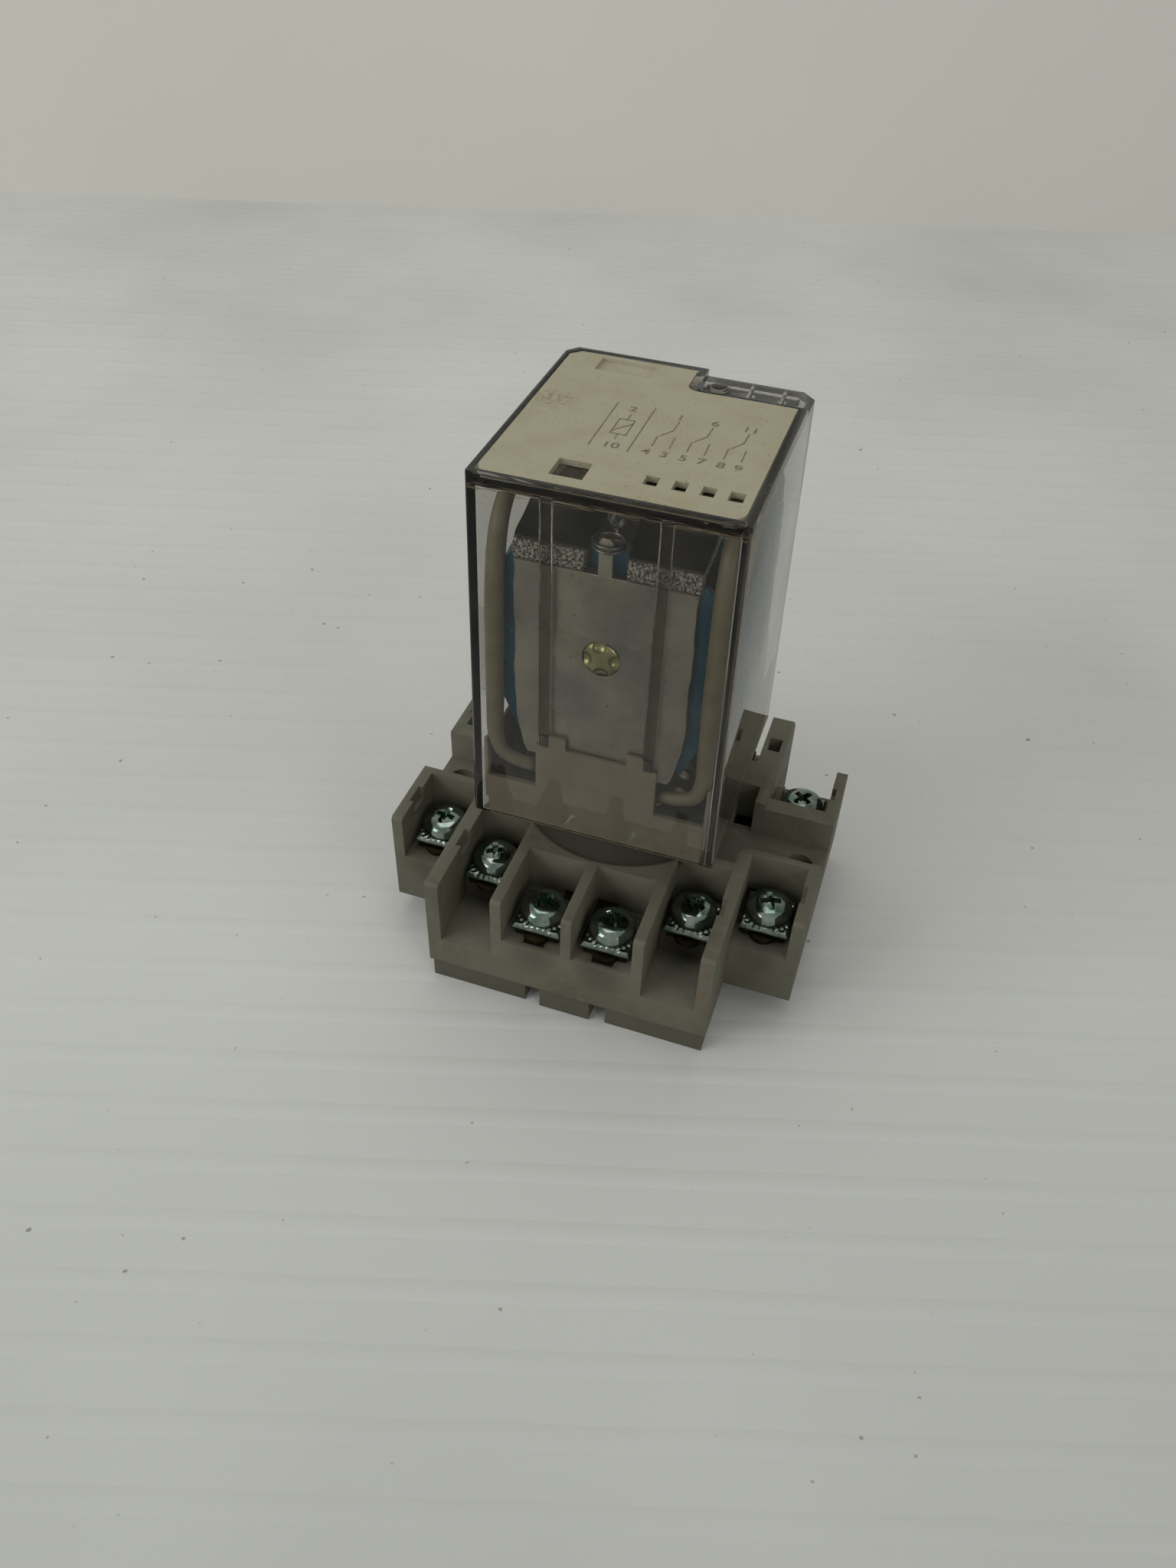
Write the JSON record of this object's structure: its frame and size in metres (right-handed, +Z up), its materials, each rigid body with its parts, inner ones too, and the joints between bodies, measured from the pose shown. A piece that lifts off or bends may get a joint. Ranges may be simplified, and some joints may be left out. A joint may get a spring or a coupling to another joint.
{
  "type": "plug in relay",
  "caption": "Plug-in power relay in a smoked clear box cover, seated in a screw-terminal socket for rail or panel mounting.",
  "frame": {"origin": "on the table or panel face under the relay's axis, at the middle of the socket's underside", "axes": "+X to the right across the two mounting holes, +Y to the rear terminals, +Z up along the relay's plug-in direction"},
  "size_m": [0.0664, 0.06, 0.0854],
  "materials": {
    "socket_plastic": "matte moulded grey thermoplastic",
    "pale_plastic": "pale beige thermoplastic",
    "smoked_clear": "smoke-tinted clear polycarbonate",
    "plated_brass": "tin-plated brass",
    "brass_strip": "bare brass",
    "zinc_steel": "zinc-plated steel",
    "plated_steel": "bright zinc-plated steel",
    "core_iron": "plated iron with a yellow tint",
    "spring_steel": "spring steel",
    "blue_plastic": "blue thermoplastic",
    "copper_winding": "enamelled copper under clear wrap",
    "contact_alloy": "silver-faced contact alloy",
    "cream_insulation": "cream insulated flexible wire"
  },
  "bodies": {
    "socket": {"socket_body": "socket_plastic", "socket_base_plate": "socket_plastic", "base_screws": "plated_steel", "latch_spring": "spring_steel", "contact_strip_01": "brass_strip", "contact_strip_02": "brass_strip", "contact_strip_03": "brass_strip", "contact_strip_04": "brass_strip", "contact_strip_05": "brass_strip", "contact_strip_06": "brass_strip", "contact_strip_07": "brass_strip", "contact_strip_08": "brass_strip", "contact_strip_09": "brass_strip", "contact_strip_10": "brass_strip", "contact_strip_11": "brass_strip"},
    "latch": {"din_latch": "socket_plastic"},
    "relay": {"relay_cover": "smoked_clear", "label_plate": "pale_plastic", "relay_base": "pale_plastic", "plug_pins": "plated_brass", "yoke": "zinc_steel", "coil_core": "core_iron", "coil_bobbin": "blue_plastic", "coil_winding": "copper_winding", "fixed_contacts_open": "contact_alloy", "fixed_contacts_closed": "contact_alloy", "return_spring": "spring_steel", "pigtail_left": "cream_insulation", "pigtail_right": "cream_insulation", "pigtail_centre": "cream_insulation", "coil_leads": "cream_insulation"},
    "armature": {"armature": "zinc_steel", "contact_carrier": "blue_plastic", "moving_contact_left": "contact_alloy", "moving_contact_centre": "contact_alloy", "moving_contact_right": "contact_alloy"},
    "clamp_01": {"clamp_plate_01": "plated_steel"},
    "screw_01": {"terminal_screw_01": "plated_steel"},
    "clamp_02": {"clamp_plate_02": "plated_steel"},
    "screw_02": {"terminal_screw_02": "plated_steel"},
    "clamp_03": {"clamp_plate_03": "plated_steel"},
    "screw_03": {"terminal_screw_03": "plated_steel"},
    "clamp_04": {"clamp_plate_04": "plated_steel"},
    "screw_04": {"terminal_screw_04": "plated_steel"},
    "clamp_05": {"clamp_plate_05": "plated_steel"},
    "screw_05": {"terminal_screw_05": "plated_steel"},
    "clamp_06": {"clamp_plate_06": "plated_steel"},
    "screw_06": {"terminal_screw_06": "plated_steel"},
    "clamp_07": {"clamp_plate_07": "plated_steel"},
    "screw_07": {"terminal_screw_07": "plated_steel"},
    "clamp_08": {"clamp_plate_08": "plated_steel"},
    "screw_08": {"terminal_screw_08": "plated_steel"},
    "clamp_09": {"clamp_plate_09": "plated_steel"},
    "screw_09": {"terminal_screw_09": "plated_steel"},
    "clamp_10": {"clamp_plate_10": "plated_steel"},
    "screw_10": {"terminal_screw_10": "plated_steel"},
    "clamp_11": {"clamp_plate_11": "plated_steel"},
    "screw_11": {"terminal_screw_11": "plated_steel"}
  },
  "joints": [
    {"name": "relay_unplug", "type": "slide", "parent": "socket", "child": "relay", "axis": [0, 0, 1], "range_m": [0, 0.03]},
    {"name": "armature_hinge", "type": "hinge", "parent": "relay", "child": "armature", "pos_m": [0, 0.0017, 0.077], "axis": [1, 0, 0], "range_deg": [-3, 0], "stiffness_Nm_per_rad": 0.1, "springref_deg": 11.46},
    {"name": "rail_latch", "type": "slide", "parent": "socket", "child": "latch", "axis": [0, -1, 0], "range_m": [0, 0.0025], "stiffness_N_per_m": 800, "springref_m": -0.002, "deforming": ["latch_spring"]},
    {"name": "clamp_slide_01", "type": "slide", "parent": "socket", "child": "clamp_01", "axis": [0, 0, 1], "range_m": [0, 0.0024]},
    {"name": "screw_turn_01", "type": "hinge", "parent": "clamp_01", "child": "screw_01", "pos_m": [-0.0055, -0.0241, 0.0155], "axis": [0, 0, 1], "range_deg": [0, 1442]},
    {"name": "clamp_slide_02", "type": "slide", "parent": "socket", "child": "clamp_02", "axis": [0, 0, 1], "range_m": [0, 0.0024]},
    {"name": "screw_turn_02", "type": "hinge", "parent": "clamp_02", "child": "screw_02", "pos_m": [-0.0163, -0.0168, 0.0155], "axis": [0, 0, 1], "range_deg": [0, 1442]},
    {"name": "clamp_slide_03", "type": "slide", "parent": "socket", "child": "clamp_03", "axis": [0, 0, 1], "range_m": [0, 0.0024]},
    {"name": "screw_turn_03", "type": "hinge", "parent": "clamp_03", "child": "screw_03", "pos_m": [-0.027, -0.0122, 0.0155], "axis": [0, 0, 1], "range_deg": [0, 1442]},
    {"name": "clamp_slide_04", "type": "slide", "parent": "socket", "child": "clamp_04", "axis": [0, 0, 1], "range_m": [0, 0.0024]},
    {"name": "screw_turn_04", "type": "hinge", "parent": "clamp_04", "child": "screw_04", "pos_m": [-0.027, 0.0122, 0.0155], "axis": [0, 0, 1], "range_deg": [0, 1442]},
    {"name": "clamp_slide_05", "type": "slide", "parent": "socket", "child": "clamp_05", "axis": [0, 0, 1], "range_m": [0, 0.0024]},
    {"name": "screw_turn_05", "type": "hinge", "parent": "clamp_05", "child": "screw_05", "pos_m": [-0.0128, 0.0206, 0.0155], "axis": [0, 0, 1], "range_deg": [0, 1442]},
    {"name": "clamp_slide_06", "type": "slide", "parent": "socket", "child": "clamp_06", "axis": [0, 0, 1], "range_m": [0, 0.0024]},
    {"name": "screw_turn_06", "type": "hinge", "parent": "clamp_06", "child": "screw_06", "pos_m": [0, 0.0241, 0.0155], "axis": [0, 0, 1], "range_deg": [0, 1442]},
    {"name": "clamp_slide_07", "type": "slide", "parent": "socket", "child": "clamp_07", "axis": [0, 0, 1], "range_m": [0, 0.0024]},
    {"name": "screw_turn_07", "type": "hinge", "parent": "clamp_07", "child": "screw_07", "pos_m": [0.0128, 0.0206, 0.0155], "axis": [0, 0, 1], "range_deg": [0, 1442]},
    {"name": "clamp_slide_08", "type": "slide", "parent": "socket", "child": "clamp_08", "axis": [0, 0, 1], "range_m": [0, 0.0024]},
    {"name": "screw_turn_08", "type": "hinge", "parent": "clamp_08", "child": "screw_08", "pos_m": [0.027, 0.0122, 0.0155], "axis": [0, 0, 1], "range_deg": [0, 1442]},
    {"name": "clamp_slide_09", "type": "slide", "parent": "socket", "child": "clamp_09", "axis": [0, 0, 1], "range_m": [0, 0.0024]},
    {"name": "screw_turn_09", "type": "hinge", "parent": "clamp_09", "child": "screw_09", "pos_m": [0.027, -0.0122, 0.0155], "axis": [0, 0, 1], "range_deg": [0, 1442]},
    {"name": "clamp_slide_10", "type": "slide", "parent": "socket", "child": "clamp_10", "axis": [0, 0, 1], "range_m": [0, 0.0024]},
    {"name": "screw_turn_10", "type": "hinge", "parent": "clamp_10", "child": "screw_10", "pos_m": [0.0163, -0.0168, 0.0155], "axis": [0, 0, 1], "range_deg": [0, 1442]},
    {"name": "clamp_slide_11", "type": "slide", "parent": "socket", "child": "clamp_11", "axis": [0, 0, 1], "range_m": [0, 0.0024]},
    {"name": "screw_turn_11", "type": "hinge", "parent": "clamp_11", "child": "screw_11", "pos_m": [0.0055, -0.0241, 0.0155], "axis": [0, 0, 1], "range_deg": [0, 1442]}
  ],
  "couplings": [
    {"joint": "screw_turn_01", "follows": "clamp_slide_01", "rad_per_m": 10472},
    {"joint": "screw_turn_02", "follows": "clamp_slide_02", "rad_per_m": 10472},
    {"joint": "screw_turn_03", "follows": "clamp_slide_03", "rad_per_m": 10472},
    {"joint": "screw_turn_04", "follows": "clamp_slide_04", "rad_per_m": 10472},
    {"joint": "screw_turn_05", "follows": "clamp_slide_05", "rad_per_m": 10472},
    {"joint": "screw_turn_06", "follows": "clamp_slide_06", "rad_per_m": 10472},
    {"joint": "screw_turn_07", "follows": "clamp_slide_07", "rad_per_m": 10472},
    {"joint": "screw_turn_08", "follows": "clamp_slide_08", "rad_per_m": 10472},
    {"joint": "screw_turn_09", "follows": "clamp_slide_09", "rad_per_m": 10472},
    {"joint": "screw_turn_10", "follows": "clamp_slide_10", "rad_per_m": 10472},
    {"joint": "screw_turn_11", "follows": "clamp_slide_11", "rad_per_m": 10472}
  ]
}
